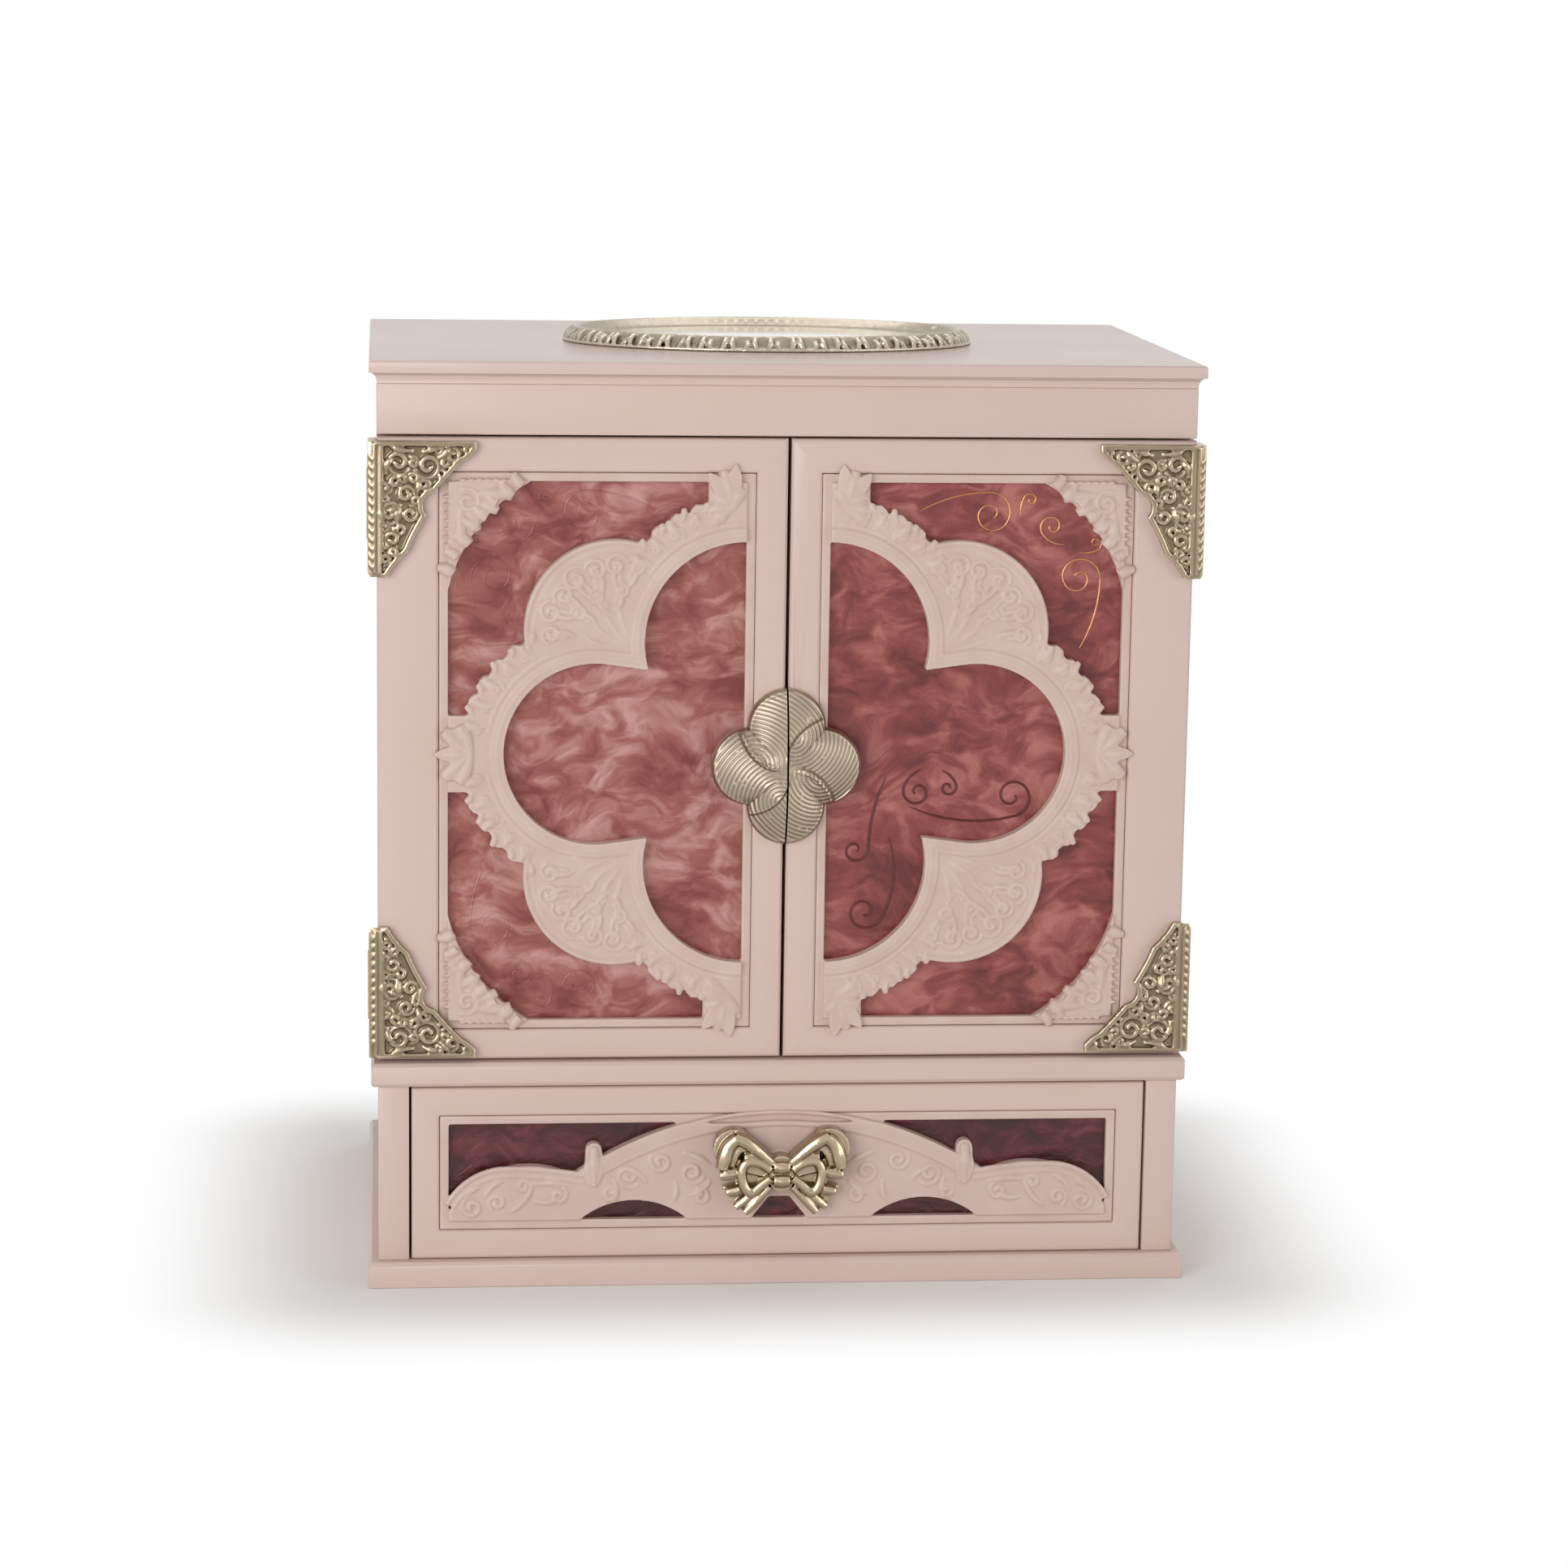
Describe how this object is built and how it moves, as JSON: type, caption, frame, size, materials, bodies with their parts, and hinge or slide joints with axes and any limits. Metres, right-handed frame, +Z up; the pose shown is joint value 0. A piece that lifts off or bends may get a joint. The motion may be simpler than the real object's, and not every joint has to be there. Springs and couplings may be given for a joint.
{
  "type": "makeup cabinet",
  "caption": "Dusty-pink makeup cabinet with fretwork double doors, a drawer below, gilt corners and bow pull, and an oval gilt mirror on its lift-up lid",
  "frame": {"origin": "centre of the body's footprint, on the surface that the plinth stands on", "axes": "+Z up, -Y out of the doors and drawer, +X to the right of someone facing the doors"},
  "size_m": [0.282, 0.2013, 0.3224],
  "materials": {
    "pink_paint": "satin pale-pink paint on board",
    "carved_resin": "moulded resin carving, painted pale pink",
    "marbled_resin": "polished marbled wine and rose resin sheet",
    "wine_resin": "polished dark wine resin sheet",
    "antique_gold": "cast metal, antique gold plated",
    "champagne_metal": "cast metal, champagne plated, satin",
    "looking_glass": "silvered glass",
    "hinge_brass": "stamped brass",
    "steel": "zinc plated"
  },
  "bodies": {
    "cabinet": {"plinth_board": "pink_paint", "lower_left_side": "pink_paint", "lower_right_side": "pink_paint", "waist_board": "pink_paint", "upper_left_side": "pink_paint", "upper_right_side": "pink_paint", "frieze_rail": "pink_paint", "tray_floor": "pink_paint", "back_panel": "pink_paint", "shelf": "pink_paint", "shelf_cleats": "pink_paint", "magnet_catches": "steel", "left_hinge_case_leaves": "hinge_brass", "right_hinge_case_leaves": "hinge_brass", "left_hinge_pins": "hinge_brass", "right_hinge_pins": "hinge_brass", "lid_hinge_case_leaves": "hinge_brass", "lid_hinge_pins": "hinge_brass"},
    "left_door": {"left_door_hinge_stile": "pink_paint", "left_door_meeting_stile": "pink_paint", "left_door_top_rail": "pink_paint", "left_door_bottom_rail": "pink_paint", "left_door_panel": "marbled_resin", "left_door_fretwork": "carved_resin", "left_door_beads": "pink_paint", "left_door_corner_brackets": "antique_gold", "left_door_strike": "steel", "left_knob_half": "champagne_metal", "left_knob_screws": "steel", "left_hinge_door_leaves": "hinge_brass"},
    "right_door": {"right_door_hinge_stile": "pink_paint", "right_door_meeting_stile": "pink_paint", "right_door_top_rail": "pink_paint", "right_door_bottom_rail": "pink_paint", "right_door_panel": "marbled_resin", "right_door_fretwork": "carved_resin", "right_door_beads": "pink_paint", "right_door_corner_brackets": "antique_gold", "right_door_strike": "steel", "right_knob_half": "champagne_metal", "right_knob_screws": "steel", "right_hinge_door_leaves": "hinge_brass"},
    "drawer": {"drawer_front": "pink_paint", "drawer_panel": "wine_resin", "drawer_fretwork": "carved_resin", "bow_pull": "antique_gold", "bow_pull_screw": "steel", "drawer_left_side": "pink_paint", "drawer_right_side": "pink_paint", "drawer_back": "pink_paint", "drawer_bottom": "pink_paint"},
    "lid": {"lid_board": "pink_paint", "mirror_frame": "antique_gold", "mirror_glass": "looking_glass", "lid_mirror": "looking_glass", "lid_mirror_beads": "pink_paint", "lid_hinge_lid_leaves": "hinge_brass"}
  },
  "joints": [
    {"name": "left_door_hinge", "type": "hinge", "parent": "cabinet", "child": "left_door", "pos_m": [-0.1394, -0.0812, 0.1856], "axis": [0, 0, -1], "range_deg": [0, 120]},
    {"name": "right_door_hinge", "type": "hinge", "parent": "cabinet", "child": "right_door", "pos_m": [0.1394, -0.0812, 0.1856], "axis": [0, 0, 1], "range_deg": [0, 120]},
    {"name": "drawer_slide", "type": "slide", "parent": "cabinet", "child": "drawer", "axis": [0, -1, 0], "range_m": [0, 0.12]},
    {"name": "lid_hinge", "type": "hinge", "parent": "cabinet", "child": "lid", "pos_m": [0, 0.0954, 0.3093], "axis": [-1, 0, 0], "range_deg": [0, 100]}
  ]
}
